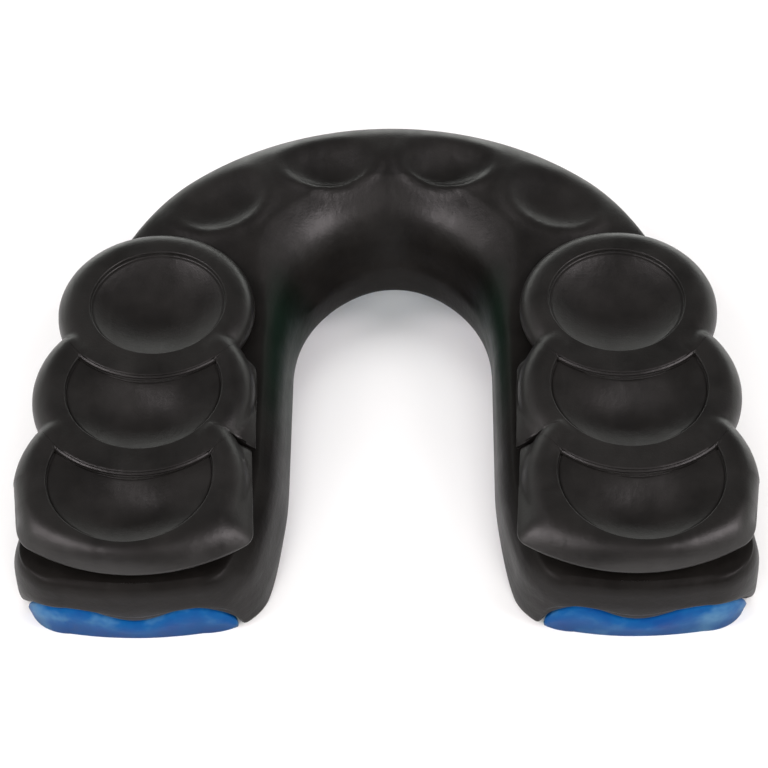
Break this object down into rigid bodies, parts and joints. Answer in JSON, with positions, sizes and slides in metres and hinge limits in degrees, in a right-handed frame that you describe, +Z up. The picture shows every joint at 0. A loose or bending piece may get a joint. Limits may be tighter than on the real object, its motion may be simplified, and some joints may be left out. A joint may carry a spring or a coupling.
{
  "type": "mouthguard",
  "caption": "Boil-and-bite boxing mouthguard: U-shaped rubber frame with dished bite pads and a gel liner for the upper teeth.",
  "frame": {"origin": "centre of the bounding box in plan, on the table the mouthguard rests on", "axes": "+X across the two arms, +Y towards the front of the arch (the lips), +Z up; the biting side is up"},
  "size_m": [0.0694, 0.0604, 0.0185],
  "materials": {
    "frame_rubber": "satin",
    "pad_rubber": "satin",
    "blue_gel": "satin"
  },
  "bodies": {
    "root": {"frame_shell": "frame_rubber", "gel_liner": "blue_gel", "left_front_pad": "pad_rubber", "left_middle_pad": "pad_rubber", "left_rear_pad": "pad_rubber", "right_front_pad": "pad_rubber", "right_middle_pad": "pad_rubber", "right_rear_pad": "pad_rubber"}
  },
  "joints": []
}
